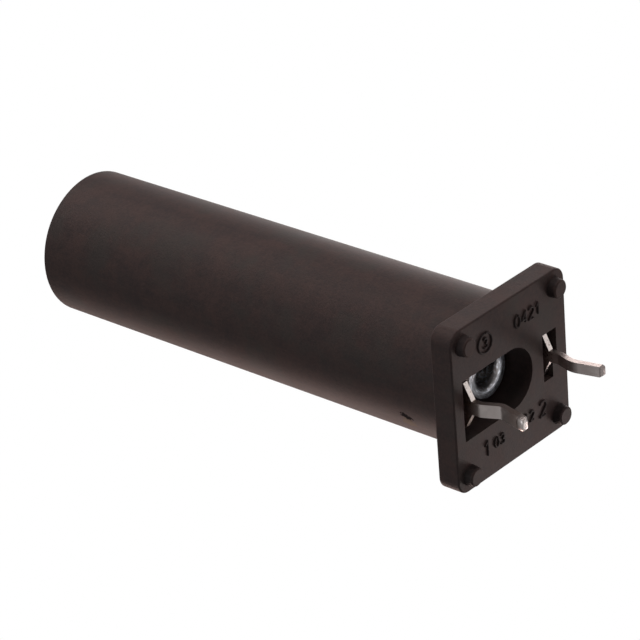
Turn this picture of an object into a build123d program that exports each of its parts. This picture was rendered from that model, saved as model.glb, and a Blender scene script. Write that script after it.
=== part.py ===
from build123d import *
import math
import os

# Vertical board-mounting holder for a 6.3 x 32 mm cartridge fuse.
#
# A moulded tube stands on a square base plate. Two stamped terminals pass through the plate:
# the bottom one ends in a ring under the tube, the side one climbs the tube wall. A sprung
# plunger presses the fuse up into the carrier, whose knob closes the mouth with a bayonet.
#
# Frame: origin on the tube's axis in the plane of the circuit board (the foot tips), +Z up the
# tube. The bottom terminal is on the -X side, the side terminal on the +X side. All sizes in mm.
# As drawn the carrier is fully home and its knob stands at the unlocked end of the bayonet.

# ---- Driving dimensions ---------------------------------------------------------------------

# Base plate and feet
plate_side = 14.5
plate_thickness = 2.05
plate_corner_radius = 1.2
plate_edge_round = 0.15
foot_height = 0.8
foot_inset = 1.45              # foot centre in from the plate's edges
foot_root_radius = 0.88
foot_tip_radius = 0.76
foot_tip_bevel = 0.1

# Housing tube
channel_wall = 0.6             # plastic left outside the side terminal's channel
groove_wall = 0.7              # plastic left outside the bayonet track
tube_draft = 0.055             # growth in radius from the mouth down to the plate
tube_root_round = 0.25
mouth_edge_bevel = 0.12
mouth_lead_in = 0.25

# Cartridge fuse
fuse_length = 31.8
fuse_cap_radius = 3.175
fuse_cap_length = 6.2
fuse_cap_wall = 0.28
fuse_cap_end = 0.35
fuse_cap_round = 0.3
fuse_glass_wall = 0.8
fuse_glass_gap = 0.03          # cement line between glass and cap
solder_depth = 0.55
solder_radius = 1.9
solder_waist_radius = 1.52
solder_taper_height = 0.385    # full width up to here, then narrowing
solder_eye_radius = 0.45       # filled hole in the cap's end
solder_eye_gap = 0.01
solder_eye_recess = 0.05       # solder below the cap's end face
element_width = 0.9
element_thickness = 0.12
element_neck_width = 0.35
element_neck_length = 3.6
element_shoulder = 1.2

# Stamped terminals
strip_thickness = 0.5
strip_width = 4.0
strip_bend_radius = 0.55       # on the centre line
pin_pitch = 10.0
pin_length = 4.5               # below the board plane
pin_tip_taper = 0.28           # height of the bevels at the tip
pin_tip_width = 0.6
pin_tip_round = 0.12
bottom_pin_width = 1.15
bottom_pin_kink = 0.7          # knee in towards the axis
bottom_pin_knee_depth = 1.6    # below the board plane
bottom_pin_knee_radius = 0.8
bottom_pin_root_depth = 0.1
side_pin_width = 0.95
side_pin_kink = 0.49
side_pin_knee_depth = 1.76
side_pin_knee_radius = 2.0
side_pin_root_depth = 0.26
side_pin_splay = 0.14          # tip outside the pitch line
pin_root_radius = 0.8
shoulder_drop = 0.12           # shoulders start this far below the plate
shoulder_rise = 0.63           # and end this far above its underside
slot_clearance = 0.07          # round a strip in the housing

# Bottom contact
tab_rise = 1.05                # ring tab's underside above the plate's top
tab_radius = 2.6
opening_radius = 2.7
opening_reach = 6.1            # square end of the opening, from the axis
pocket_reach = 0.9             # side terminal's pocket in the plate, either side of the strip's centre
pocket_end_gap = 0.12          # pocket beyond the strip's edges
ledge_gap = 0.05
ledge_thickness = 1.35
eyelet_bore_radius = 1.25
eyelet_wall = 0.25
eyelet_rim_radius = 2.36
eyelet_rim_round = 0.22
eyelet_rim_height = 0.72
eyelet_roll_radius = 0.58      # inner side of the rolled rim
eyelet_clinch_height = 0.45
eyelet_clinch_radius = 2.28
eyelet_tab_gap = 0.01          # barrel in the tab's hole

# Contact spring and plunger
spring_wire = 0.45
spring_mean_radius = 2.05
spring_fitted_length = 3.75
spring_open_turns = 2.0
spring_closed_gap = 0.03       # between the closed end turn and the next
spring_grind = 0.06            # wire's centre above the ground end face
spring_points_per_turn = 6
press_travel = 0.8
cup_floor = 0.4
cup_wall = 0.4
cup_depth = 2.4
cup_fuse_gap = 0.17
cup_well_gap = 0.1
cup_bevel = 0.3
rivet_head_radius = 1.9
rivet_head_height = 0.3
rivet_shank_radius = 0.95
rivet_guide_gap = 0.09         # inside the spring
rivet_guide_height = 1.0
rivet_nose_length = 1.7
rivet_nose_radius = 1.0
well_margin = 1.2              # well wall above the cup
well_lead_in = 1.0

# Fuse carrier: contact sleeve, grip ring, cage
sleeve_grip_gap = 0.055
sleeve_wall = 0.35
sleeve_crown = 0.35
sleeve_length = 7.0
sleeve_slot_width = 0.5
sleeve_slot_length = 5.2
sleeve_slots = 4
sleeve_lead_in = 0.15
sleeve_lead_length = 0.45
sleeve_crown_bevel = 0.2
ring_wire = 0.3                # square wire
ring_gap = 0.03                # to the sleeve
ring_height = 1.3              # ring's centre above the sleeve's lower end
ring_opening_angle = 56.0
cage_ring_gap = 0.07
cage_wall = 0.52
cage_disc = 0.9
cage_length = 13.4
cage_bore_gap = 0.1
cage_slot_width = 3.4
cage_slot_top = 2.45           # down from the cage's upper face
cage_rib_height = 0.32
cage_rib_width = 1.2
rib_gap = 0.08
axial_gap = 0.05               # between the stacked carrier pieces

# Knob, swivel stud and bayonet
knob_height = 3.95
knob_gap = 0.1                 # to the mouth bore
mouth_step = 0.4               # mouth bore beyond the main bore
mouth_recess = 0.1             # knob's top below the rim
knob_edge_chamfer = 0.25
driver_slot_width = 1.4
driver_slot_depth = 1.5
knob_hub_radius = 2.4
knob_skirt = 0.9
knob_core_depth = 1.5
lug_base = 0.6                 # lug's underside above the knob's
lug_height = 1.3
lug_reach = 0.6
lug_angle = 24.0
lug_gap_angle = 3.0
lug_gap = 0.12
lug_overlap = 0.3              # root of the lug inside the knob
lock_angle = 60.0
notch_rise = 0.5
stud_head_bevel = 0.2
stud_head_radius = 1.8
stud_head_height = 0.4
stud_shank_radius = 0.85
stud_running_gap = 0.05
stud_socket_gap = 0.01
stud_grip = 1.9                # shank length inside the knob
stud_fuse_gap = 0.1
washer_thickness = 0.2
washer_radius = 2.3

# Side terminal's tongue
tongue_width = 2.8
tongue_touch_gap = 0.07        # to the contact sleeve
tongue_bow_length = 4.2
tongue_return_length = 2.2
tongue_tail_length = 1.2
tongue_touch_drop = 4.8        # touching point below the sleeve's top
tongue_bend_radius = 1.6       # foot of the bow
tongue_crest_radius = 0.9
tongue_tail_radius = 0.9
strip_bore_gap = 0.15          # strip's face behind the bore wall

cut_past = 1.0                 # how far a cut runs beyond the face it opens

# ---- Heights, from the board up -------------------------------------------------------------

plate_bottom = foot_height
plate_top = plate_bottom + plate_thickness
tab_bottom = plate_top + tab_rise
tab_top = tab_bottom + strip_thickness
ledge_bottom = tab_top + ledge_gap
ledge_top = ledge_bottom + ledge_thickness
spring_bottom = tab_top + eyelet_clinch_height
cup_bottom = spring_bottom + spring_fitted_length
cup_seat = cup_bottom + cup_floor
cup_top = cup_seat + cup_depth
well_top = cup_top + well_margin
fuse_bottom = cup_seat + rivet_head_height
fuse_top = fuse_bottom + fuse_length
stud_bottom = fuse_top + stud_fuse_gap
sleeve_top = stud_bottom + stud_head_height + axial_gap + sleeve_crown
sleeve_bottom = sleeve_top - sleeve_length
cage_top = sleeve_top + axial_gap + cage_disc
cage_bottom = cage_top - cage_length
washer_bottom = cage_top + axial_gap
knob_bottom = washer_bottom + washer_thickness + axial_gap
knob_top = knob_bottom + knob_height
mouth_height = knob_top + mouth_recess
mouth_bore_bottom = knob_bottom - press_travel - lug_gap
lug_bottom = knob_bottom + lug_base
lug_top = lug_bottom + lug_height
track_bottom = lug_bottom - press_travel - lug_gap
track_top = lug_top + lug_gap
tongue_touch = sleeve_top - tongue_touch_drop
tongue_top = tongue_touch + tongue_return_length + tongue_tail_length
channel_top = tongue_top + cage_disc

# ---- Radii, from the fuse out ---------------------------------------------------------------

fuse_glass_radius = fuse_cap_radius - fuse_cap_wall - fuse_glass_gap
sleeve_bore_radius = fuse_cap_radius + sleeve_grip_gap
sleeve_radius = sleeve_bore_radius + sleeve_wall
ring_mean_radius = sleeve_radius + ring_gap + ring_wire / 2
cage_bore_radius = ring_mean_radius + ring_wire / 2 + cage_ring_gap
cage_radius = cage_bore_radius + cage_wall
bore_radius = cage_radius + cage_bore_gap
mouth_bore_radius = bore_radius + mouth_step
knob_radius = mouth_bore_radius - knob_gap
lug_radius = knob_radius + lug_reach
track_radius = lug_radius + lug_gap
cup_bore_radius = fuse_cap_radius + cup_fuse_gap
cup_radius = cup_bore_radius + cup_wall
well_radius = cup_radius + cup_well_gap
eyelet_barrel_radius = eyelet_bore_radius + eyelet_wall
spring_hole_radius = spring_mean_radius + spring_wire
strip_centre = bore_radius + strip_bore_gap + strip_thickness / 2
channel_outer = strip_centre + strip_thickness / 2 + slot_clearance
channel_inner = strip_centre - strip_thickness / 2 - slot_clearance
channel_half_width = strip_width / 2 + slot_clearance
channel_corner_radius = math.hypot(channel_outer, channel_half_width)
tube_mouth_radius = max(channel_corner_radius + channel_wall, track_radius + groove_wall)
tube_root_radius = tube_mouth_radius + tube_draft
foot_offset = plate_side / 2 - foot_inset

# ---- Helpers --------------------------------------------------------------------------------


def disc(radius, low, high):
    """Solid cylinder on the axis between two heights."""
    return Pos(0, 0, low) * Cylinder(radius, high - low, align=(Align.CENTER, Align.CENTER, Align.MIN))


def tube(outer, inner, low, high):
    """Plain ring on the axis."""
    return disc(outer, low, high) - disc(inner, low, high)


def block(x_range, half_width, z_range):
    """Box given by its X range, its half width in Y and its Z range."""
    size_x = x_range[1] - x_range[0]
    size_z = z_range[1] - z_range[0]
    centre = ((x_range[0] + x_range[1]) / 2, 0, (z_range[0] + z_range[1]) / 2)
    return Pos(*centre) * Box(size_x, 2 * half_width, size_z)


def turned(*edges):
    """Solid of revolution about Z from a closed chain of edges drawn as (radius, height)."""
    return revolve(Plane.XZ * make_face(edges), Axis.Z)


def turned_polygon(*points):
    """Solid of revolution about Z from the corners of its half section."""
    return turned(Polyline(*points, close=True))


def sector(inner, outer, low, high, start, sweep_angle):
    """Part of a ring that starts at an angle from +X and runs anticlockwise."""
    section = Pos((inner + outer) / 2, (low + high) / 2) * Rectangle(outer - inner, high - low)
    return Rot(0, 0, start) * revolve(Plane.XZ * section, Axis.Z, sweep_angle)


def bent_strip(points, radii, width):
    """Flat strip of the terminals' stock, bent along a centre line in the XZ plane."""
    path = FilletPolyline(*[(x, 0, z) for x, z in points], radius=radii)
    section = Plane(origin=path @ 0, x_dir=(0, 1, 0), z_dir=path % 0) * Rectangle(width, strip_thickness)
    return sweep(section, path=path)


def front_blank(face):
    """Outline drawn in the YZ plane, cut through the part's whole depth."""
    return extrude(Plane.YZ * face, amount=pin_pitch, both=True)


# ---- Housing --------------------------------------------------------------------------------


def make_foot():
    """Stand-off foot, tapered and slightly bevelled at its tip."""
    foot = Cone(foot_tip_radius, foot_root_radius, foot_height,
                align=(Align.CENTER, Align.CENTER, Align.MIN))
    return chamfer(foot.edges().sort_by(Axis.Z)[0], foot_tip_bevel)


def make_bayonet_cut():
    """Two entry slots from the mouth, each with a track under the rim and a detent notch."""
    half = lug_angle / 2 + lug_gap_angle
    inner = mouth_bore_radius - mouth_step
    cuts = []
    for entry in (90, 270):
        track_start = entry - lock_angle - half
        cuts += sector(inner, track_radius, track_bottom, mouth_height + cut_past, entry - half, 2 * half)
        cuts += sector(inner, track_radius, track_bottom, track_top, track_start, lock_angle + 2 * half)
        cuts += sector(inner, track_radius, track_bottom, track_top + notch_rise, track_start, 2 * half)
    return cuts


def make_terminal_cuts():
    """Openings in the base for both terminals, and the side terminal's channel up the wall."""
    below = plate_bottom - cut_past
    cuts = []
    # U-shaped opening under the tube: the whole ring tab goes in through it
    cuts += disc(opening_radius, below, ledge_bottom)
    cuts += block((-opening_reach, 0), opening_radius, (below, plate_top))
    cuts += block((-channel_outer, 0), channel_half_width, (below, ledge_bottom))
    # pocket along the side strip's inner face, and a relief behind one half of its outer face
    pocket_half = strip_width / 2 + pocket_end_gap
    cuts += block((strip_centre - pocket_reach, channel_outer), pocket_half, (below, plate_top))
    relief = block((strip_centre, strip_centre + pocket_reach), pocket_half / 2, (below, plate_top))
    cuts += Pos(0, -pocket_half / 2, 0) * relief
    # close channel behind the well, then open to the bore
    cuts += block((channel_inner, channel_outer), channel_half_width, (below, channel_top))
    cuts += block((0, channel_outer), channel_half_width, (well_top + well_lead_in / 2, channel_top))
    return cuts


def make_bore():
    """Stepped bore: spring hole, contact well, fuse bore and mouth."""
    lead_top = well_top + well_lead_in
    mouth_chamfer = mouth_bore_radius + mouth_lead_in
    return turned_polygon(
        (0, ledge_bottom),
        (spring_hole_radius, ledge_bottom),
        (spring_hole_radius, ledge_top),
        (well_radius, ledge_top),
        (well_radius, well_top),
        (bore_radius, lead_top),
        (bore_radius, mouth_bore_bottom),
        (mouth_bore_radius, mouth_bore_bottom),
        (mouth_bore_radius, mouth_height - mouth_lead_in),
        (mouth_chamfer, mouth_height),
        (mouth_chamfer, mouth_height + cut_past),
        (0, mouth_height + cut_past),
    )


def make_housing():
    """Base plate, feet and tube as one moulding."""
    plate = extrude(Pos(0, 0, plate_bottom) * RectangleRounded(plate_side, plate_side, plate_corner_radius),
                    plate_thickness)
    rims = plate.edges().group_by(Axis.Z)
    plate = fillet(rims[0] + rims[-1], plate_edge_round)
    barrel = Pos(0, 0, plate_bottom) * Cone(tube_root_radius, tube_mouth_radius, mouth_height - plate_bottom,
                                           align=(Align.CENTER, Align.CENTER, Align.MIN))
    barrel = chamfer(barrel.edges().sort_by(Axis.Z)[-1], mouth_edge_bevel)
    body = plate + barrel
    root = body.edges().filter_by(GeomType.CIRCLE).filter_by_position(Axis.Z, plate_top, plate_top)
    body = fillet(root.sort_by(SortBy.RADIUS)[-1], tube_root_round)
    for x in (-foot_offset, foot_offset):
        for y in (-foot_offset, foot_offset):
            body += Pos(x, y, 0) * make_foot()
    body -= make_bore()
    for cut in make_terminal_cuts() + make_bayonet_cut():
        body -= cut
    keyway_low = cage_bottom - press_travel - 2 * rib_gap
    keyway = block((-cage_radius - cage_rib_height - rib_gap, 0), cage_rib_width / 2 + rib_gap,
                   (keyway_low, mouth_bore_bottom + rib_gap))
    return body - keyway


# ---- Terminals ------------------------------------------------------------------------------


def pin_blank(width, top):
    """Pin with a bevelled tip, sloping shoulders and the strip above them, up to a height."""
    right = [
        (pin_tip_width / 2, -pin_length),
        (width / 2, -pin_length + pin_tip_taper),
        (width / 2, plate_bottom - shoulder_drop),
        (strip_width / 2, plate_bottom + shoulder_rise),
        (strip_width / 2, top),
    ]
    left = [(-y, z) for y, z in reversed(right)]
    face = make_face(Polyline(*right, *left, close=True))
    tips = face.vertices().group_by(Axis.Y)[0]
    return front_blank(fillet(tips, pin_tip_round))


def pin_path(kink, knee_depth, root_depth, splay):
    """Centre line of a kinked pin: past its tip, in to the knee, back out to the strip."""
    knee = strip_centre - kink
    tip = pin_pitch / 2 + splay
    slope = (tip - knee) / (pin_length - knee_depth)
    end = pin_length + strip_thickness
    return [(knee + slope * (end - knee_depth), -end), (knee, -knee_depth), (strip_centre, -root_depth)]


def tip_wedge(tip, top):
    """All that lies inside a 45 degree wedge standing on a pin's end: it bevels the end's faces."""
    flat = strip_thickness / 2 - pin_tip_round
    spread = flat + pin_length + top
    corners = [(tip - flat, -pin_length), (tip + flat, -pin_length), (tip + spread, top), (tip - spread, top)]
    return extrude(Plane.XZ * make_face(Polyline(*corners, close=True)), amount=strip_width, both=True)


def make_bottom_terminal():
    """Kinked pin and short riser, bent over into the ring tab under the tube."""
    tab_centre = (tab_bottom + tab_top) / 2
    pin = pin_path(bottom_pin_kink, bottom_pin_knee_depth, bottom_pin_root_depth, 0)
    riser = [(strip_centre, tab_centre), (tab_radius / 2, tab_centre)]
    strip = bent_strip(
        [(-x, z) for x, z in pin + riser],
        [bottom_pin_knee_radius, pin_root_radius, strip_bend_radius],
        strip_width,
    )
    strip &= pin_blank(bottom_pin_width, tab_top + cut_past)
    strip &= tip_wedge(-pin_pitch / 2, tab_top + cut_past)
    ring = disc(tab_radius, tab_bottom, tab_top)
    hole = disc(eyelet_barrel_radius + eyelet_tab_gap, tab_bottom - cut_past, tab_top + cut_past)
    return strip + ring - hole


def make_side_terminal():
    """Kinked pin and long strip that ends in the sprung tongue."""
    touch = sleeve_radius + tongue_touch_gap + strip_thickness / 2
    bow_bottom = tongue_touch - tongue_bow_length
    pin = pin_path(side_pin_kink, side_pin_knee_depth, side_pin_root_depth, side_pin_splay)
    tongue = [
        (strip_centre, bow_bottom),
        (touch, tongue_touch),
        (strip_centre, tongue_touch + tongue_return_length),
        (strip_centre, tongue_top),
    ]
    strip = bent_strip(
        pin + tongue,
        [side_pin_knee_radius, pin_root_radius, tongue_bend_radius, tongue_crest_radius, tongue_tail_radius],
        strip_width,
    )
    finger = block((0, pin_pitch), tongue_width / 2, (bow_bottom - cut_past, tongue_top + cut_past))
    strip &= pin_blank(side_pin_width, bow_bottom) + finger
    return strip & tip_wedge(pin_pitch / 2 + side_pin_splay, tongue_top + cut_past)


# ---- Bottom contact -------------------------------------------------------------------------


def make_contact_eyelet():
    """Hollow rivet: a rolled rim under the tab, a short barrel, and a clinch on top of it."""
    rim_bottom = tab_bottom - eyelet_rim_height
    clinch_top = tab_top + eyelet_clinch_height
    crest = eyelet_bore_radius + eyelet_roll_radius
    flat = eyelet_rim_radius - eyelet_rim_round
    bevel = eyelet_wall / 2
    return turned(
        Line((eyelet_barrel_radius, tab_bottom), (eyelet_rim_radius, tab_bottom)),
        Line((eyelet_rim_radius, tab_bottom), (eyelet_rim_radius, rim_bottom + eyelet_rim_round)),
        RadiusArc((eyelet_rim_radius, rim_bottom + eyelet_rim_round), (flat, rim_bottom), eyelet_rim_round),
        Line((flat, rim_bottom), (crest, rim_bottom)),
        RadiusArc((crest, rim_bottom), (eyelet_bore_radius, rim_bottom + eyelet_roll_radius),
                  eyelet_roll_radius),
        Polyline(
            (eyelet_bore_radius, rim_bottom + eyelet_roll_radius),
            (eyelet_bore_radius, clinch_top),
            (eyelet_clinch_radius - bevel, clinch_top),
            (eyelet_clinch_radius, clinch_top - bevel),
            (eyelet_clinch_radius, tab_top),
            (eyelet_barrel_radius, tab_top),
            (eyelet_barrel_radius, tab_bottom),
        ),
    )


def make_contact_spring():
    """Compression spring: a closed, ground turn at each end and open turns between them."""
    low = spring_bottom + spring_grind
    high = cup_bottom - spring_grind
    closed_rise = spring_wire + spring_closed_gap
    open_pitch = (high - low - 2 * closed_rise) / spring_open_turns
    turns = spring_open_turns + 2
    points = []
    for step in range(math.ceil(turns * spring_points_per_turn) + 1):
        turn = min(step / spring_points_per_turn, turns)
        height = low + closed_rise * min(turn, 1)
        height += open_pitch * min(max(turn - 1, 0), spring_open_turns)
        height += closed_rise * max(turn - 1 - spring_open_turns, 0)
        angle = 2 * math.pi * turn
        points.append((spring_mean_radius * math.cos(angle), spring_mean_radius * math.sin(angle), height))
    path = Spline(*points)
    wire = Plane(origin=path @ 0, z_dir=path % 0) * Circle(spring_wire / 2)
    coil = sweep(wire, path=path, is_frenet=True)
    return coil & disc(spring_mean_radius + spring_wire, spring_bottom, cup_bottom)


def make_plunger_cup():
    """Drawn cup that centres the fuse's lower cap."""
    cup = disc(cup_radius, cup_bottom, cup_top) - disc(cup_bore_radius, cup_seat, cup_top + cut_past)
    cup = chamfer(cup.edges().filter_by(GeomType.CIRCLE).sort_by(Axis.Z)[0], cup_bevel)
    lip = cup.edges().filter_by(GeomType.CIRCLE).group_by(Axis.Z)[-1].sort_by(SortBy.RADIUS)[0]
    cup = chamfer(lip, cup_wall / 2)
    return cup - disc(rivet_shank_radius, cup_bottom - cut_past, cup_seat + cut_past)


def make_plunger_rivet():
    """Contact rivet through the cup's floor; its lower end guides the spring."""
    guide = spring_mean_radius - spring_wire / 2 - rivet_guide_gap
    guide_bottom = cup_bottom - rivet_guide_height
    nose_bottom = guide_bottom - rivet_nose_length
    head_top = cup_seat + rivet_head_height
    return turned_polygon(
        (0, nose_bottom),
        (rivet_nose_radius, nose_bottom),
        (guide, guide_bottom),
        (guide, cup_bottom),
        (rivet_shank_radius, cup_bottom),
        (rivet_shank_radius, cup_seat),
        (rivet_head_radius, cup_seat),
        (rivet_head_radius, head_top - rivet_head_height / 2),
        (rivet_head_radius - rivet_head_height, head_top),
        (0, head_top),
    )


# ---- Cartridge fuse -------------------------------------------------------------------------


def make_fuse_cap(end_height, inward):
    """Pressed end cap; inward is +1 for the lower cap and -1 for the upper one."""
    cap = disc(fuse_cap_radius, 0, fuse_cap_length)
    cap = fillet(cap.edges().filter_by(GeomType.CIRCLE).sort_by(Axis.Z)[0], fuse_cap_round)
    cap -= disc(fuse_glass_radius + fuse_glass_gap, fuse_cap_end, fuse_cap_length + cut_past)
    cap -= disc(solder_eye_radius, -cut_past, fuse_cap_length)
    turn = 0 if inward > 0 else 180
    return Pos(0, 0, end_height) * Rot(turn, 0, 0) * cap


def make_solder(end_height, inward):
    """Solder bead between the cap's end and the glass, filling the eye of the cap."""
    eye = solder_eye_radius - solder_eye_gap
    bead = turned_polygon(
        (0, solder_eye_recess),
        (eye, solder_eye_recess),
        (eye, fuse_cap_end),
        (solder_radius, fuse_cap_end),
        (solder_waist_radius, fuse_cap_end + solder_taper_height),
        (element_width, fuse_cap_end + solder_depth),
        (0, fuse_cap_end + solder_depth),
    )
    turn = 0 if inward > 0 else 180
    return Pos(0, 0, end_height) * Rot(turn, 0, 0) * bead


def make_fuse_tube():
    """Glass tube between the two solder beads."""
    low = fuse_bottom + fuse_cap_end + solder_depth
    high = fuse_top - fuse_cap_end - solder_depth
    return tube(fuse_glass_radius, fuse_glass_radius - fuse_glass_wall, low, high)


def make_fuse_element():
    """Punched strip with a narrow neck halfway along."""
    low = fuse_bottom + fuse_cap_end + solder_depth
    high = fuse_top - fuse_cap_end - solder_depth
    middle = (low + high) / 2
    neck = element_neck_length / 2
    wide = element_width / 2
    narrow = element_neck_width / 2
    right = [
        (wide, low),
        (wide, middle - neck - element_shoulder),
        (narrow, middle - neck),
        (narrow, middle + neck),
        (wide, middle + neck + element_shoulder),
        (wide, high),
    ]
    left = [(-x, z) for x, z in reversed(right)]
    face = make_face(Polyline(*right, *left, close=True))
    return extrude(Plane.XZ * face, amount=element_thickness / 2, both=True)


# ---- Fuse carrier ---------------------------------------------------------------------------


def make_contact_sleeve():
    """Crowned metal sleeve with sprung fingers that grip the fuse's upper cap."""
    crown_bottom = sleeve_top - sleeve_crown
    sleeve = disc(sleeve_radius, sleeve_bottom, sleeve_top)
    sleeve = chamfer(sleeve.edges().filter_by(GeomType.CIRCLE).sort_by(Axis.Z)[-1], sleeve_crown_bevel)
    sleeve -= disc(sleeve_bore_radius, sleeve_bottom - cut_past, crown_bottom)
    sleeve -= disc(stud_shank_radius + stud_running_gap, crown_bottom - cut_past, sleeve_top + cut_past)
    mouth = sleeve_bore_radius + sleeve_lead_in
    sleeve -= turned_polygon(
        (0, sleeve_bottom - cut_past),
        (mouth, sleeve_bottom - cut_past),
        (mouth, sleeve_bottom),
        (sleeve_bore_radius, sleeve_bottom + sleeve_lead_length),
        (0, sleeve_bottom + sleeve_lead_length),
    )
    slot = block((0, 2 * sleeve_radius), sleeve_slot_width / 2,
                 (sleeve_bottom - cut_past, sleeve_bottom + sleeve_slot_length))
    step = 360 / sleeve_slots
    for index in range(sleeve_slots):
        sleeve -= Rot(0, 0, step * (index + 0.5)) * slot
    return sleeve


def make_grip_ring():
    """Open wire ring round the fingers, its gap towards the side terminal."""
    height = sleeve_bottom + ring_height
    section = Pos(ring_mean_radius, height) * Rectangle(ring_wire, ring_wire)
    start = ring_opening_angle / 2
    return Rot(0, 0, start) * revolve(Plane.XZ * section, Axis.Z, 360 - ring_opening_angle)


def make_carrier_cage():
    """Moulded sleeve round the contact, slotted for the tongue and keyed by a rib."""
    cage = tube(cage_radius, cage_bore_radius, cage_bottom, cage_top - cage_disc)
    cage += tube(cage_radius, stud_shank_radius + stud_running_gap, cage_top - cage_disc, cage_top)
    rib = block((-cage_radius - cage_rib_height, -cage_bore_radius - cage_wall / 2), cage_rib_width / 2,
                (cage_bottom, cage_top))
    cage += rib
    slot = block((0, 2 * cage_radius), cage_slot_width / 2,
                 (cage_bottom - cut_past, cage_top - cage_slot_top))
    return cage - slot


def make_thrust_washer():
    """Plain washer the knob turns on."""
    return tube(washer_radius, stud_shank_radius + stud_running_gap, washer_bottom,
                washer_bottom + washer_thickness)


def make_knob_stud():
    """Headed stud pressed into the knob; the carrier pieces hang on its head."""
    head_top = stud_bottom + stud_head_height
    head = disc(stud_head_radius, stud_bottom, head_top)
    head = chamfer(head.edges().filter_by(GeomType.CIRCLE).sort_by(Axis.Z)[0], stud_head_bevel)
    return head + disc(stud_shank_radius, head_top, knob_bottom + stud_grip)


def make_knob():
    """Flush knob with a driver slot, a cored underside and two bayonet lugs."""
    knob = disc(knob_radius, knob_bottom, knob_top)
    rims = knob.edges().filter_by(GeomType.CIRCLE)
    knob = chamfer(rims, knob_edge_chamfer)
    knob -= tube(knob_radius - knob_skirt, knob_hub_radius, knob_bottom - cut_past,
                 knob_bottom + knob_core_depth)
    knob -= disc(stud_shank_radius + stud_socket_gap, knob_bottom - cut_past, knob_bottom + stud_grip)
    knob -= block((-2 * knob_radius, 2 * knob_radius), driver_slot_width / 2,
                  (knob_top - driver_slot_depth, knob_top + cut_past))
    for middle in (90, 270):
        knob += sector(knob_radius - lug_overlap, lug_radius, lug_bottom, lug_top,
                       middle - lug_angle / 2, lug_angle)
    return knob


# ---- Write one file per piece ---------------------------------------------------------------

pieces = {
    "housing": make_housing(),
    "bottom_terminal": make_bottom_terminal(),
    "side_terminal": make_side_terminal(),
    "contact_eyelet": make_contact_eyelet(),
    "contact_spring": make_contact_spring(),
    "plunger_cup": make_plunger_cup(),
    "plunger_rivet": make_plunger_rivet(),
    "fuse_tube": make_fuse_tube(),
    "fuse_cap_lower": make_fuse_cap(fuse_bottom, 1),
    "fuse_cap_upper": make_fuse_cap(fuse_top, -1),
    "fuse_element": make_fuse_element(),
    "solder_lower": make_solder(fuse_bottom, 1),
    "solder_upper": make_solder(fuse_top, -1),
    "contact_sleeve": make_contact_sleeve(),
    "grip_ring": make_grip_ring(),
    "carrier_cage": make_carrier_cage(),
    "thrust_washer": make_thrust_washer(),
    "knob_stud": make_knob_stud(),
    "knob": make_knob(),
}

os.makedirs("parts", exist_ok=True)
for name, piece in pieces.items():
    export_step(piece, f"parts/{name}.step")
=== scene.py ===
import math

import bpy
import numpy as np
from bpy.props import FloatProperty, FloatVectorProperty, PointerProperty
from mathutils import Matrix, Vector


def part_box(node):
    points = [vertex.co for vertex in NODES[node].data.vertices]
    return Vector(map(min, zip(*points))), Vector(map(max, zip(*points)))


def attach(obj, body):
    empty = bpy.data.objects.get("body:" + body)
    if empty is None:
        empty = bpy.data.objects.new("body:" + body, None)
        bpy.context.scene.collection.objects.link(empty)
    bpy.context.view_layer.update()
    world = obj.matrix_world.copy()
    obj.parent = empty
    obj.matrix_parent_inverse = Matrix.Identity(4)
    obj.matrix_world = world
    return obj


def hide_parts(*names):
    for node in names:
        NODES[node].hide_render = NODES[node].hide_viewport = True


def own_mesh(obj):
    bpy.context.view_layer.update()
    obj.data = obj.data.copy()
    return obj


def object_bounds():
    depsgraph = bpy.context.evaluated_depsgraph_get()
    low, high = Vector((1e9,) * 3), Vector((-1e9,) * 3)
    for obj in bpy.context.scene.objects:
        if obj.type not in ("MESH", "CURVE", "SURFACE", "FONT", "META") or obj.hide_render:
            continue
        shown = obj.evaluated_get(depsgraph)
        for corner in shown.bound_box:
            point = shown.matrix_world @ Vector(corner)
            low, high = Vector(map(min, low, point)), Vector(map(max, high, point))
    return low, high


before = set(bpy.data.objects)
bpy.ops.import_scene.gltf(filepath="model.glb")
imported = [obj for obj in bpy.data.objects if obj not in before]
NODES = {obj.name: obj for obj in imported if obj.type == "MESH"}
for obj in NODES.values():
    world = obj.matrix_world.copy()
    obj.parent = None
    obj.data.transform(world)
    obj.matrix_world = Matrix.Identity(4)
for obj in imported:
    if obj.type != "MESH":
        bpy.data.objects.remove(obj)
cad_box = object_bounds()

bl_info = {
    "name": "Cartridge Fuse Holder",
    "version": (1, 0, 0),
    "blender": (4, 5, 0),
    "location": "View3D > Sidebar > Fuse Holder",
    "description": "Finishes and moulded details for a board-mounting cartridge fuse holder",
    "category": "Object",
}

MM = 0.001

# Heights and radii on the object. Z = 0 is the circuit board's face, which the feet touch.
PIN_TIPS = cad_box[0].z
PLATE_UNDERSIDE = 0.8 * MM
MOUTH_RIM = cad_box[1].z
KNOB_FACE = MOUTH_RIM - 0.1 * MM
TUBE_RADIUS = 6.4 * MM
PIN_OFFSET = 5.0 * MM           # from the axis to the middle of either pin

STROKE_SPACING = 0.06 * MM      # between the points along a raised mark
MARK_ROOT = 0.03 * MM           # how far a mark reaches below the surface that it stands on
CLOSED_TURN = (90, 448)         # degrees from end to end of a line whose rounded ends meet
DIGIT_PITCH = 0.85              # from one numeral to the next, as a share of their height

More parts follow.
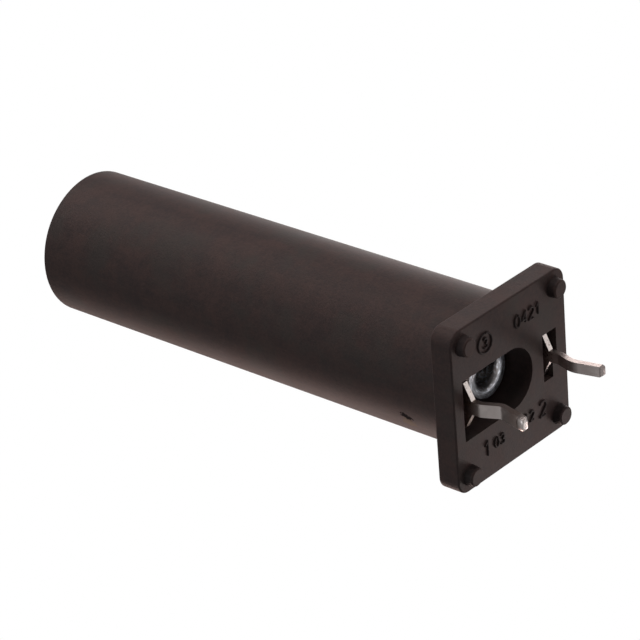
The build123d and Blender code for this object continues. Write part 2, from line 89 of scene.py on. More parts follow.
# The numbers on the plate's underside: digits, height as a share of the numeral height, and the
# place of the lower left corner in millimetres. The last one stands in the ring.
PLATE_NUMBERS = (
    ((1,), 1.3, (-3.9, 5.2)),
    ((0, 3), 0.8, (-2.6, 4.9)),
    ((2,), 1.3, (3.3, 5.0)),
    ((1, 2), 0.8, (1.3, 4.7)),
    ((0, 4, 2, 1), 1.0, (0.7, -4.3)),
    ((3,), 0.8, (-3.33, -4.38)),
)
RING_MIDDLE = (-3.1 * MM, -4.8 * MM)
ARROW_RADIUS = 3.3 * MM

SOLDER_HALF_SIZES = (0.35 * MM, 0.6 * MM, 0.52 * MM)
SOLDER_LEAN = 0.235             # sideways along X for each unit of height

FLOOR_HALF = 0.3                # half the floor's side
FLOOR_FADE = (0.04, 0.16)       # radii between which the floor fades out

# The room's bright patches: which way they lie, and the degrees from their middle at which they
# begin and are at their brightest.
PATCHES = ((0.5, -0.05, -0.86), (-0.3, 0.45, -0.84))
PATCH_EDGE, PATCH_FULL = 38, 20


# ---- Shader expressions ---------------------------------------------------------------------


class Signal:
    """An output socket of a node tree that Python's operators work on.

    Arithmetic on signals and numbers adds the Math nodes for it, in either order.
    """

    def __init__(self, nodes, socket):
        self.nodes = nodes
        self.socket = socket

    def math(self, operation, *values):
        return self.nodes.add("ShaderNodeMath", {"operation": operation}, dict(enumerate(values)))

    def __add__(self, other):
        return self.math("ADD", self, other)

    def __radd__(self, other):
        return self.math("ADD", other, self)

    def __sub__(self, other):
        return self.math("SUBTRACT", self, other)

    def __rsub__(self, other):
        return self.math("SUBTRACT", other, self)

    def __mul__(self, other):
        return self.math("MULTIPLY", self, other)

    def __rmul__(self, other):
        return self.math("MULTIPLY", other, self)

    def __truediv__(self, other):
        return self.math("DIVIDE", self, other)

    def __rtruediv__(self, other):
        return self.math("DIVIDE", other, self)

    def sine(self):
        return self.math("SINE", self)

    def root(self):
        return self.math("SQRT", self)

    def angle_from(self, other):
        """Angle of the point (other, self) round the axis, in radians."""
        return self.math("ARCTAN2", self, other)

    def most(self, other):
        return self.math("MAXIMUM", self, other)

    def over(self, low, high):
        """Smooth step: 0 below low, 1 above high, and the other way round if low is the larger."""
        falling = low > high
        ends = {"From Min": min(low, high), "From Max": max(low, high)}
        ends |= {"To Min": 1.0 if falling else 0.0, "To Max": 0.0 if falling else 1.0}
        smooth = {"interpolation_type": "SMOOTHSTEP"}
        return self.nodes.add("ShaderNodeMapRange", smooth, {"Value": self, **ends})

    def siblings(self, *names):
        """The named outputs of the node that this one comes from."""
        outputs = self.socket.node.outputs
        return [Signal(self.nodes, outputs[name]) for name in names]


class Nodes:
    """The node tree of a material or a world."""

    def __init__(self, owner):
        owner.use_nodes = True
        self.tree = owner.node_tree

    def add(self, kind, settings, values, output=0):
        """Adds one node: its settings first, then a value or a link for each socket in values."""
        made = self.tree.nodes.new(kind)
        for key, value in settings.items():
            setattr(made, key, value)
        for key, value in values.items():
            if isinstance(value, Signal):
                self.tree.links.new(value.socket, made.inputs[key])
            else:
                made.inputs[key].default_value = value
        return Signal(self, made.outputs[output])


class Finish(Nodes):
    """A material that is being built: its node tree, its shader and the ways to add to them."""

    def __init__(self, name, **constants):
        self.material = bpy.data.materials.new(name)
        super().__init__(self.material)
        self.tree.nodes.clear()
        self.shader = self.tree.nodes.new("ShaderNodeBsdfPrincipled")
        self.output = self.tree.nodes.new("ShaderNodeOutputMaterial")
        self.tree.links.new(self.shader.outputs[0], self.output.inputs["Surface"])
        for socket, value in constants.items():
            self.shader.inputs[socket.replace("_", " ")].default_value = value
        self.place = self.add("ShaderNodeTexCoord", {}, {}, "Object")

    def axes(self):
        """X, Y and Z of the shaded point, in metres."""
        split = self.add("ShaderNodeSeparateXYZ", {}, {"Vector": self.place})
        return split.siblings("X", "Y", "Z")

    def point(self, x, y, z):
        """A vector put together from three signals or numbers."""
        return self.add("ShaderNodeCombineXYZ", {}, {"X": x, "Y": y, "Z": z})

    def stretched(self, sizes, place=None):
        """The place divided by three sizes in metres, which a pattern of scale 1 then has."""
        factors = tuple(1 / size for size in sizes)
        values = {0: place or self.place, 1: factors}
        return self.add("ShaderNodeVectorMath", {"operation": "MULTIPLY"}, values)

    def grain(self, size, detail=3.0, roughness=0.55, place=None, distortion=0.0):
        """Fractal noise from 0 to 1. size is its features' size in metres, or one for each axis."""
        sizes = size if isinstance(size, tuple) else (size, size, size)
        values = {"Vector": self.stretched(sizes, place), "Scale": 1.0, "Detail": detail,
                  "Roughness": roughness, "Distortion": distortion}
        return self.add("ShaderNodeTexNoise", {}, values, "Fac")

    def cells(self, size):
        """Distance to the nearest of points scattered size metres apart."""
        values = {"Vector": self.stretched((size, size, size)), "Scale": 1.0}
        return self.add("ShaderNodeTexVoronoi", {}, values, "Distance")

    def mix(self, share, first, second):
        """Colour between first at share 0 and second at share 1."""
        colours = [c if isinstance(c, Signal) else (*c, 1.0) for c in (first, second)]
        values = {0: share, 6: colours[0], 7: colours[1]}
        return self.add("ShaderNodeMix", {"data_type": "RGBA"}, values, 2)

    def relief(self, height, depth, below=None):
        """Normal of a surface raised by height times depth metres, on top of the relief below."""
        values = {"Strength": 1.0, "Distance": depth, "Height": height}
        if below is not None:
            values["Normal"] = below
        return self.add("ShaderNodeBump", {}, values)

    def set(self, **signals):
        """Links signals to the shader's sockets."""
        for socket, signal in signals.items():
            self.tree.links.new(signal.socket, self.shader.inputs[socket.replace("_", " ")])
        return self.material


# ---- Finishes -------------------------------------------------------------------------------


def spark_texture(finish, size, depth):
    """Relief of a spark-eroded mould: a fine even grain over slightly larger, softer pits."""
    fine = finish.grain(size, detail=2.0)
    pits = finish.cells(size * 2.2).over(0.15, 0.6)
    return finish.relief(fine * 0.7 + pits * 0.3, depth)


def spot(place, centre, half_sizes, tilt, unevenness):
    """1 inside a patch on the tube's wall, 0 outside it, with an edge moved by the unevenness.

    place is (arc length round the tube, height) and centre the patch's middle in the same terms,
    half_sizes its half length and half width, tilt its length's angle above the arc in degrees.
    """
    arc, height = place[0] - centre[0], place[1] - centre[1]
    lean = math.radians(tilt)
    along = (arc * math.cos(lean) + height * math.sin(lean)) / half_sizes[0]
    across = (height * math.cos(lean) - arc * math.sin(lean)) / half_sizes[1]
    edge = (along * along + across * across).root() + unevenness
    return edge.over(1.1, 0.75)


def scuffs_and_shade(finish, body, shine):
    """Colour and roughness with the marks of handling, and painted shade.

    The marks are a short scratch and a brownish smear low on the tube. The feet's flanks and the
    raised marks between them are darkened with painted shade.
    """
    x, y, z = finish.axes()
    place = (y.angle_from(x) * TUBE_RADIUS, z)
    scuff_height = 7.0 * MM
    smear_middle = (math.radians(151.0) * TUBE_RADIUS, scuff_height)
    scratch_middle = (math.radians(157.7) * TUBE_RADIUS, scuff_height)
    coarse = (finish.grain(0.3 * MM, detail=4.0) - 0.5) * 1.8
    fine = (finish.grain(0.22 * MM, detail=3.0) - 0.5) * 2.2
    smear = spot(place, smear_middle, (0.75 * MM, 0.6 * MM), tilt=84, unevenness=coarse)
    scratch = spot(place, scratch_middle, (0.62 * MM, 0.33 * MM), tilt=72, unevenness=fine)
    below_plate = z.over(PLATE_UNDERSIDE - 0.01 * MM, PLATE_UNDERSIDE - 0.1 * MM)
    # Painted shade: the feet's flanks, and the raised marks between them, are darkened towards
    # grey.
    flanks = z.over(0.04 * MM, 0.3 * MM) * below_plate
    smear_brown = (0.085, 0.052, 0.016)
    scratch_black = (0.003, 0.002, 0.003)
    painted_shade_grey = (0.012, 0.011, 0.012)
    body = finish.mix(smear * 0.6, body, smear_brown)
    body = finish.mix(scratch * 0.95, body, scratch_black)
    body = finish.mix(flanks * 0.55, body, painted_shade_grey)
    return body, shine + scratch * 0.4


def moulded_plastic(name, colour, roughness, grain, depth, handled_and_shaded=False):
    """Dark moulded thermoplastic with a matte grain.

    Its tint is cloudy, with cooler patches, pale specks and faint flow streaks up the tube, and the
    mouth's rim is worn a little paler and smoother. A part with the handled flag gets scuffs, and
    painted shade on its feet's flanks.
    """
    finish = Finish(name, IOR=1.5, Specular_IOR_Level=0.12)
    x, y, z = finish.axes()
    red, green, blue = colour
    dark = (red * 0.76, green * 0.83, blue * 0.87)
    light = (red * 1.25, green * 1.17, blue * 1.13)
    cool = (red * 0.86, green * 1.16, blue * 1.14)
    speck_colour = tuple(c * 0.6 + 0.04 for c in colour)
    worn_colour = tuple(c * 1.6 + 0.02 for c in colour)
    clouds = finish.grain(2.2 * MM, detail=5.0, roughness=0.65)
    streaks = finish.grain((0.7 * MM, 0.7 * MM, 9 * MM), detail=3.0)
    mottle = finish.grain(0.3 * MM, detail=3.0, roughness=0.6)
    tint = clouds * 0.5 + streaks * 0.2 + mottle * 0.3
    cool_patches = finish.grain(3.5 * MM, detail=3.0).over(0.48, 0.68)
    specks = finish.cells(0.42 * MM).over(0.1, 0.04) * finish.grain(1.1 * MM).over(0.52, 0.66)
    near_edge = (x * x + y * y).root().over(TUBE_RADIUS - 0.4 * MM, TUBE_RADIUS - 0.05 * MM)
    rim = near_edge * z.over(MOUTH_RIM - 0.4 * MM, MOUTH_RIM - 0.05 * MM)
    wear = rim * finish.grain((0.25 * MM, 0.25 * MM, 1.4 * MM), detail=4.0).over(0.5, 0.72)
    body = finish.mix(tint.over(0.34, 0.66), dark, light)
    body = finish.mix(cool_patches * 0.5, body, cool)
    body = finish.mix(specks * 0.3, body, speck_colour)
    body = finish.mix(wear * 0.5, body, worn_colour)
    shine = roughness - 0.06 + clouds * 0.12 - wear * 0.12
    # Scuffs, and painted shade on the feet's flanks.
    if handled_and_shaded:
        body, shine = scuffs_and_shade(finish, body, shine)
    normal = spark_texture(finish, grain, depth)
    normal = finish.relief(clouds, 6e-6, normal)
    return finish.set(Base_Color=body, Roughness=shine, Normal=normal)


def tinned_strip(name, colour):
    """Bright tin over stamped copper alloy, with rolling lines, clouds and small scratches.

    From the plate up it is dull and specked, with a golden tint on the -X side. Towards the pins'
    tips it carries a painted reflection of the brownish plate, mostly on the -X side, and the +X
    pin's cut end is dull.
    """
    finish = Finish(name, Metallic=1.0)
    x, y, z = finish.axes()
    dull = tuple(c * 0.72 for c in colour)
    film_brown = (0.30, 0.26, 0.23)
    speck_brown = (0.16, 0.12, 0.10)
    golden = (0.78, 0.62, 0.46)
    cut_grey = (0.30, 0.26, 0.25)
    reflected_plate_brown = (0.38, 0.27, 0.23)
    rolled = finish.grain((0.4 * MM, 0.035 * MM, 2.8 * MM), detail=3.0, roughness=0.6)
    clouds = finish.grain(0.9 * MM, detail=4.0, distortion=0.6)
    scratches = finish.grain((0.9 * MM, 0.02 * MM, 1.6 * MM), detail=2.0, distortion=0.3)
    scratches = scratches.over(0.66, 0.72)
    edge_lines = finish.grain((0.03 * MM, 2 * MM, 0.05 * MM), detail=2.0)
    from_plate_up = z.over(PLATE_UNDERSIDE - 1.2 * MM, PLATE_UNDERSIDE + 0.1 * MM)
    specks = finish.grain(0.16 * MM, detail=2.0).over(0.58, 0.68) * from_plate_up
    gilding = from_plate_up * x.over(1.0 * MM - PIN_OFFSET, -PIN_OFFSET) * clouds.over(0.4, 0.6)
    cut_end = z.over(PIN_TIPS + 0.32 * MM, PIN_TIPS + 0.24 * MM) * x.over(0.0, 1.0 * MM)
    # Painted reflection of the brownish plate, above the pins' tips and mostly on the -X side.
    plate_reflection = z.over(PIN_TIPS + 2.6 * MM, PIN_TIPS + 1.5 * MM)
    plate_reflection = plate_reflection * z.over(PIN_TIPS + 0.65 * MM, PIN_TIPS + 1.0 * MM)
    plate_reflection = plate_reflection * (x.over(0.5 * MM, -0.5 * MM) * 0.5 + 0.15) * (clouds + 0.4)
    surface = finish.mix(clouds.over(0.35, 0.7) * 0.55, colour, dull)
    surface = finish.mix(from_plate_up * clouds * 0.35, surface, film_brown)
    surface = finish.mix(cut_end * 0.8, surface, cut_grey)
    surface = finish.mix(specks * 0.7, surface, speck_brown)
    surface = finish.mix(gilding * 0.35, surface, golden)
    surface = finish.mix(plate_reflection, surface, reflected_plate_brown)
    shine = 0.2 + rolled * 0.16 + clouds * 0.12 + scratches * 0.12 + cut_end * 0.3
    normal = finish.relief(rolled * 0.6 + edge_lines * 0.4 - scratches * 0.5, 3.5e-6)
    normal = finish.relief(clouds, 8e-6, normal)
    return finish.set(Base_Color=surface, Roughness=shine, Normal=normal)


def pressed_metal(name, colour, dull, base_roughness):
    """Drawn or rolled plated part: fine marks along Z, cloudy tarnish and rubbed spots."""
    finish = Finish(name, Metallic=1.0)
    spot_colour = tuple(c * 0.5 for c in dull)
    drawn = finish.grain((0.06 * MM, 0.06 * MM, 0.6 * MM), detail=3.0)
    clouds = finish.grain(1.3 * MM, detail=4.0, distortion=0.5)
    spots = finish.cells(0.5 * MM).over(0.12, 0.05) * clouds.over(0.45, 0.6)
    surface = finish.mix(clouds.over(0.38, 0.72), colour, dull)
    surface = finish.mix(spots * 0.6, surface, spot_colour)
    shine = base_roughness + drawn * 0.1 + clouds * 0.14 + spots * 0.15
    normal = finish.relief(drawn + clouds * 0.5, 3e-6)
    return finish.set(Base_Color=surface, Roughness=shine, Normal=normal)


def rolled_eyelet(name, colour, tarnish):
    """Plated eyelet: rings and light and dark streaks left by the rolling tool, and small pits.

    A painted reflection of the brownish plate lies down the bore and on the -X side, and tarnish
    lies in some of the clouds.
    """
    finish = Finish(name, Metallic=1.0)
    x, y, z = finish.axes()
    pit_colour = tuple(c * 0.4 for c in tarnish)
    dark_streak = tuple(c * 0.45 for c in colour)
    light_streak = tuple(min(1.0, c * 1.5) for c in colour)
    bore_edge = 1.8 * MM
    radius = (x * x + y * y).root()
    around = finish.point(radius, y.angle_from(x) * bore_edge, z)
    rings = finish.grain((0.05 * MM, 1.1 * MM, 0.4 * MM), place=around)
    streaks = finish.grain((0.12 * MM, 0.5 * MM, 0.3 * MM), detail=3.0, place=around)
    clouds = finish.grain(0.7 * MM, detail=4.0, distortion=0.6)
    pits = finish.cells(0.22 * MM).over(0.14, 0.05) * clouds.over(0.4, 0.6)
    # The tarnish colour paints the plate's reflection down the bore and on the -X side, and real
    # tarnish in some of the clouds.
    bore = radius.over(bore_edge, bore_edge - 0.45 * MM)
    side = x.over(0.6 * MM, -2.0 * MM)
    tarnish_and_reflection = (bore * 0.7).most(side * 0.4).most(clouds.over(0.45, 0.75) * 0.3)
    surface = finish.mix(tarnish_and_reflection, colour, tarnish)
    surface = finish.mix(pits * 0.5, surface, pit_colour)
    surface = finish.mix(streaks.over(0.46, 0.62) * 0.6, surface, dark_streak)
    surface = finish.mix(streaks.over(0.46, 0.36) * 0.7, surface, light_streak)
    shine = 0.17 + rings * 0.12 + clouds * 0.16 + pits * 0.1 + streaks * 0.1
    normal = finish.relief(rings + clouds + streaks * 2.0, 8e-6)
    return finish.set(Base_Color=surface, Roughness=shine, Normal=normal)


def turned_metal(name, colour, dull, pitch, base_roughness):
    """Lathe-turned part: rings round the axis at the tool's feed, under a light tarnish."""
    finish = Finish(name, Metallic=1.0)
    x, y, z = finish.axes()
    radius = (x * x + y * y).root()
    wander = finish.grain(0.5 * MM) * 0.6
    rings = ((radius + z) * (2 * math.pi / pitch) + wander).sine() * 0.5 + 0.5
    clouds = finish.grain(0.8 * MM, detail=4.0)
    surface = finish.mix(clouds.over(0.4, 0.7), colour, dull)
    shine = base_roughness + clouds * 0.15 + rings * 0.05
    normal = finish.relief(rings, 2e-6)
    return finish.set(Base_Color=surface, Roughness=shine, Normal=normal)


def drawn_wire(name, colour):
    """Spring wire: die lines that run round the coil, a blued tint here and there."""
    finish = Finish(name, Metallic=1.0)
    x, y, z = finish.axes()
    coil_radius = 1.2 * MM
    radius = (x * x + y * y).root()
    around = finish.point(radius, y.angle_from(x) * coil_radius, z)
    lines = finish.grain((0.025 * MM, 0.9 * MM, 0.025 * MM), place=around)
    clouds = finish.grain(0.7 * MM, detail=4.0)
    blued = (0.30, 0.30, 0.34)
    surface = finish.mix(clouds.over(0.4, 0.75), colour, blued)
    shine = 0.22 + lines * 0.16 + clouds * 0.1
    return finish.set(Base_Color=surface, Roughness=shine, Normal=finish.relief(lines, 2.5e-6))


def solder_metal(name, colour):
    """Dull frozen solder: soft lumps and a frosted skin."""
    finish = Finish(name, Metallic=1.0)
    lumps = finish.grain(0.5 * MM, detail=2.0)
    frost = finish.cells(0.12 * MM)
    frosted = tuple(c * 0.7 for c in colour)
    surface = finish.mix(frost.over(0.2, 0.7), colour, frosted)
    normal = finish.relief(lumps, 5e-5, finish.relief(frost, 4e-6))
    return finish.set(Base_Color=surface, Roughness=0.38 + frost * 0.2, Normal=normal)


def clear_glass(name):
    """Drawn glass tube: clear, with a faint ripple along its length and a few faint smears."""
    finish = Finish(name, IOR=1.5, Transmission_Weight=1.0, Base_Color=(0.96, 0.985, 0.975, 1.0))
    ripple = finish.grain((1.4 * MM, 1.4 * MM, 8 * MM), detail=1.0)
    smears = finish.grain(1.8 * MM, detail=4.0, distortion=1.0).over(0.5, 0.75)
    return finish.set(Roughness=smears * 0.07 + 0.01, Normal=finish.relief(ripple, 1.2e-5))


# ---- Surfaces from arrays -------------------------------------------------------------------


def mesh_object(name, vertices, faces):
    """A new object in the scene, at the origin, from places in metres and each face's corners."""
    mesh = bpy.data.meshes.new(name)
    mesh.from_pydata(np.asarray(vertices).tolist(), [], faces)
    mesh.validate()
    made = bpy.data.objects.new(name, mesh)
    bpy.context.scene.collection.objects.link(made)
    return made


def bead(path, width, height, root, up):
    """Raised bead along a flat path, with rounded ends.

    Its section at t from 0 to pi is (w/2 cos t, h (sin t)^0.7), an arch a little fuller than half
    an ellipse, whose feet go straight down to the root below the surface. Within half a width of
    either end, w and h follow a quarter circle, so that the bead ends in a half disc. path is
    (n, 2) in the marked plane, in metres; up is +1 or -1, and the result is (n, m, 3) with z
    along up, measured from the surface.
    """
    path = np.asarray(path, float)
    steps = np.linalg.norm(np.diff(path, axis=0), axis=1)
    along = np.concatenate([[0.0], np.cumsum(steps)])
    tangent = np.gradient(path, axis=0)
    tangent /= np.linalg.norm(tangent, axis=1, keepdims=True)
    side = np.stack([-tangent[:, 1], tangent[:, 0]], 1)
    half = width / 2
    from_end = np.minimum(along, along[-1] - along)
    share = np.sqrt(np.clip(1 - (1 - np.clip(from_end / half, 0.02, 1)) ** 2, 0, 1))
    turn = np.linspace(0, np.pi, 9)
    offset = np.concatenate([[1.0], np.cos(turn), [-1.0]])
    lift = np.concatenate([[-root], height * np.sin(turn) ** 0.7, [-root]])
    reach = half * share[:, None, None]
    flat = path[:, None, :] + side[:, None, :] * reach * offset[None, :, None]
    rise = np.broadcast_to(lift[None, :] * np.where(lift > 0, share[:, None], 1.0), flat.shape[:2])
    return np.concatenate([flat, (up * rise)[..., None]], -1)


def rounded_lump(centre, half_sizes, lean, power=0.75):
    """Superellipsoid that leans along X, as an array (sections, points, 3) from bottom to top.

    x = a C(v) C(u) + lean z, y = b C(v) S(u) and z = c S(v), from the centre, where a, b and c are
    the half sizes and C and S the cosine and sine raised to the given power with their sign kept.
    u runs round, and v from near one pole to near the other, where a small flat face closes it.
    """
    def raised(values):
        return np.sign(values) * np.abs(values) ** power

    u = np.linspace(0, 2 * np.pi, 48, endpoint=False)
    v = np.radians(np.linspace(-87, 87, 31))
    across = raised(np.cos(v))[:, None]
    x = half_sizes[0] * across * raised(np.cos(u))
    y = half_sizes[1] * across * raised(np.sin(u))
    z = np.broadcast_to(half_sizes[2] * raised(np.sin(v))[:, None], x.shape)
    return np.stack([x + lean * z, y, z], -1) + np.asarray(centre)


def coil_spring(outer_radius, wire, bottom, top, closed_gap, grind):
    """Compression spring with closed, ground end turns, as an array (sections, points, 3).

    The wire's middle is at (r cos 2 pi t, r sin 2 pi t, h(t)) for t from 0 to 4 turns. h climbs by
    the wire and a gap over the first and the last turn and evenly over the two between them, and is
    averaged over a quarter turn. Points past the ground end faces are moved onto them.
    """
    turns, points_a_turn, points_round_wire = 4, 60, 18
    radius = outer_radius - wire / 2
    low, high = bottom + grind, top - grind
    closed = wire + closed_gap
    pitch = (high - low - 2 * closed) / (turns - 2)
    turn = np.linspace(0, turns, turns * points_a_turn + 1)
    nearby = turn + np.linspace(-0.125, 0.125, 11)[:, None]
    closed_turns = np.minimum(nearby, 1) + np.maximum(nearby - (turns - 1), 0)
    open_turns = np.clip(nearby - 1, 0, turns - 2)
    height = low + closed * closed_turns + pitch * open_turns
    angle = 2 * np.pi * turn
    outward = np.stack([np.cos(angle), np.sin(angle), np.zeros_like(angle)], -1)
    middle = radius * outward
    middle[:, 2] = height.mean(0)
    forward = np.gradient(middle, axis=0)
    forward /= np.linalg.norm(forward, axis=1, keepdims=True)
    above = np.cross(forward, outward)
    round_wire = np.linspace(0, 2 * np.pi, points_round_wire, endpoint=False)[None, :, None]
    ring = np.cos(round_wire) * outward[:, None] + np.sin(round_wire) * above[:, None]
    rows = middle[:, None] + wire / 2 * ring
    rows[..., 2] = np.clip(rows[..., 2], bottom, top)
    return rows


def along_points(corners):
    """Evenly spaced points on the straight runs through corners, with each corner kept."""
    corners = np.asarray(corners, float)
    runs = []
    for start, end in zip(corners[:-1], corners[1:]):
        count = max(2, int(np.linalg.norm(end - start) / STROKE_SPACING))
        runs.append(start + (end - start) * np.linspace(0, 1, count, endpoint=False)[:, None])
    return np.vstack([*runs, corners[-1:]])


def arc_points(centre, radii, start, end):
    """Points on an elliptical arc between two angles in degrees."""
    count = max(6, int(abs(math.radians(end - start)) * max(radii) / STROKE_SPACING))
    turn = np.radians(np.linspace(start, end, count))
    return np.stack([centre[0] + radii[0] * np.cos(turn), centre[1] + radii[1] * np.sin(turn)], 1)


def digit_strokes(digit, height):
    """Centre lines of a plain numeral's strokes, its lower left corner at the origin, +Y upwards.

    Places and radii in it are shares of the numeral's width and height.
    """
    width = 0.6 * height

    def runs(*places):
        return along_points([(across * width, up * height) for across, up in places])

    def arc(middle, radii, start, end):
        centre = (middle[0] * width, middle[1] * height)
        return arc_points(centre, (radii[0] * width, radii[1] * height), start, end)

    if digit == 0:
        return [arc((0.5, 0.5), (0.5, 0.5), *CLOSED_TURN)]
    if digit == 1:
        return [runs((0.05, 0.72), (0.5, 1), (0.5, 0))]
    if digit == 2:
        top = arc((0.5, 0.72), (0.5, 0.28), 165, -60)
        return [np.vstack([top[:-1], along_points([top[-1], (0, 0), (width, 0)])])]
    if digit == 3:
        top = arc((0.48, 0.74), (0.44, 0.26), 160, -90)
        return [np.vstack([top, arc((0.48, 0.24), (0.5, 0.25), 88, -160)])]
    if digit == 4:
        return [runs((0.72, 0), (0.72, 1), (0, 0.32), (1, 0.32))]
    raise ValueError(f"no strokes for the numeral {digit}")


def underside_mark(stroke, corner, marks):
    """Bead on the plate's underside along a stroke drawn with +Y up, where up is -Y."""
    grid = bead(stroke, marks.stroke_width, marks.relief, MARK_ROOT, -1)
    grid[..., 0] += corner[0]
    grid[..., 1] = corner[1] - grid[..., 1]
    grid[..., 2] += PLATE_UNDERSIDE
    return grid[:, ::-1]


def turning_arrow(radius, middle):
    """Centre lines of a clockwise arrow round the axis: its arc and its head.

    The angles are degrees from its middle. The head's two ends stand 12% of the radius off the arc.
    """
    shaft = arc_points((0, 0), (radius, radius), middle + 28, middle - 24)
    tip, back = math.radians(middle - 30), math.radians(middle - 19)
    places = ((1.12, back), (1.0, tip), (0.88, back))
    head = [(radius * share * math.cos(angle), radius * share * math.sin(angle))
            for share, angle in places]
    return [shaft, along_points(head)]


# ---- Sizes and colours that can be changed ---------------------------------------------------


class PlasticSettings(bpy.types.PropertyGroup):
    """Colours and textures of the moulded parts"""

    housing_colour: FloatVectorProperty(
        name="Housing", description="Colour of the housing and knob", subtype="COLOR",
        size=3, min=0, max=1, default=(0.050, 0.034, 0.032))
    carrier_colour: FloatVectorProperty(
        name="Carrier", description="Colour of the fuse carrier's cage", subtype="COLOR",
        size=3, min=0, max=1, default=(0.026, 0.021, 0.020))
    roughness: FloatProperty(
        name="Roughness", description="Mean roughness of the moulded surfaces",
        default=0.6, min=0.1, max=1, subtype="FACTOR")
    grain_size: FloatProperty(
        name="Grain Size", description="Width of the mould texture's grains",
        default=0.11 * MM, min=0.01 * MM, max=1 * MM, precision=6, unit="LENGTH")
    grain_depth: FloatProperty(
        name="Grain Depth", description="Height of the mould texture's grains",
        default=0.009 * MM, min=0, max=0.1 * MM, precision=7, unit="LENGTH")


class MetalSettings(bpy.types.PropertyGroup):
    """Colours of the metal parts"""

    tin_colour: FloatVectorProperty(
        name="Tin", description="Colour of the tinned terminals", subtype="COLOR",
        size=3, min=0, max=1, default=(0.72, 0.64, 0.61))
    nickel_colour: FloatVectorProperty(
        name="Nickel", description="Colour of the nickel-plated parts", subtype="COLOR",
        size=3, min=0, max=1, default=(0.56, 0.58, 0.63))
    brass_colour: FloatVectorProperty(
        name="Brass", description="Colour of the bare brass parts", subtype="COLOR",
        size=3, min=0, max=1, default=(0.78, 0.60, 0.30))


class MarkSettings(bpy.types.PropertyGroup):
    """Sizes of the raised marks"""

    numeral_height: FloatProperty(
        name="Numeral Height", description="Height of the terminal numerals",
        default=1.05 * MM, min=0.3 * MM, max=3 * MM, precision=5, unit="LENGTH")
    stroke_width: FloatProperty(
        name="Stroke Width", description="Width of every raised line",
        default=0.2 * MM, min=0.05 * MM, max=1 * MM, precision=5, unit="LENGTH")
    relief: FloatProperty(
        name="Relief", description="How far the marks stand off the surface",
        default=0.14 * MM, min=0.01 * MM, max=0.3 * MM, precision=5, unit="LENGTH")
    arrow_relief: FloatProperty(
        name="Arrow Relief", description="How far the knob's arrows stand off its recessed face",
        default=0.1 * MM, min=0.01 * MM, max=0.1 * MM, precision=5, unit="LENGTH")
    ring_radius: FloatProperty(
        name="Ring Radius", description="Radius of the ring round the mould's cavity number",
        default=0.85 * MM, min=0.4 * MM, max=2 * MM, precision=5, unit="LENGTH")


class StudioSettings(bpy.types.PropertyGroup):
    """The camera, the lamps and the room's light"""

    focal_length: FloatProperty(
        name="Focal Length", description="Camera lens on a 36 mm wide sensor",
        default=171.9, min=20, max=400, unit="CAMERA")
    camera_place: FloatVectorProperty(
        name="Camera", description="Place of the camera", size=3, subtype="TRANSLATION",
        default=(-0.164242, -0.118029, -0.132936))
    camera_turn: FloatVectorProperty(
        name="Camera Turn", description="Direction of the camera as Euler angles", size=3,
        subtype="EULER", default=tuple(math.radians(a) for a in (157.2174, 48.97844, 6.68665)))
    key_power: FloatProperty(
        name="Key Power", description="Power of the softbox below the plate", default=0.26, min=0,
        unit="POWER")
    near_power: FloatProperty(
        name="Near Power", description="Power of the small lamp beside the plate's far corner",
        default=0.0135, min=0, unit="POWER")
    glint_power: FloatProperty(
        name="Glint Power", description="Power of the small lamp that the contact eyelet reflects",
        default=0.012, min=0, unit="POWER")
    top_power: FloatProperty(
        name="Top Power", description="Power of the softbox along the tube", default=0.5, min=0,
        unit="POWER")
    mouth_power: FloatProperty(
        name="Mouth Power", description="Power of the softbox above the tube's mouth", default=0.64,
        min=0, unit="POWER")
    rim_power: FloatProperty(
        name="Rim Power", description="Power of the softbox along the tube's far side",
        default=0.62, min=0, unit="POWER")
    side_power: FloatProperty(
        name="Side Power", description="Power of the cool lamp in front of the tube", default=0.23,
        min=0, unit="POWER")
    fill_power: FloatProperty(
        name="Fill Power", description="Power of the softbox behind the tube", default=0.9, min=0,
        unit="POWER")
    room_level: FloatProperty(
        name="Room Level", description="Strength of the even light from all round", default=0.09,
        min=0, max=2)
    gloss_level: FloatProperty(
        name="Gloss Level", description="Strength of the room in reflections", default=0.25,
        min=0, max=2)
    window_level: FloatProperty(
        name="Window Level", description="Extra strength of the bright patches in reflections",
        default=0.82, min=0, max=4)


def scene_settings(kind):
    """The scene's property group of that name."""
    return getattr(bpy.context.scene, kind)


# ---- Pieces ---------------------------------------------------------------------------------


def dress(node, material):
    """Gives a CAD node its finish."""
    slots = NODES[node].data.materials
    slots.clear()
    slots.append(material)


def join_rows(name, parts, material, body):
    """One object from several closed grids, each (sections, points, 3), already in place."""
    vertices, faces, base = [], [], 0
    for rows in parts:
        sections, points = rows.shape[:2]
        index = np.arange(sections * points).reshape(sections, points) + base
        across = np.roll(index, -1, axis=1)
        quads = np.stack([index[:-1], across[:-1], across[1:], index[1:]], -1).reshape(-1, 4)
        faces += quads.tolist() + [index[0, ::-1].tolist(), index[-1].tolist()]
        vertices.append(rows.reshape(-1, 3))
        base += sections * points
    made = mesh_object(name, np.vstack(vertices), faces)
    made.data.materials.append(material)
    made.data.polygons.foreach_set("use_smooth", np.ones(len(made.data.polygons), bool))
    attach(made, body)
    return made


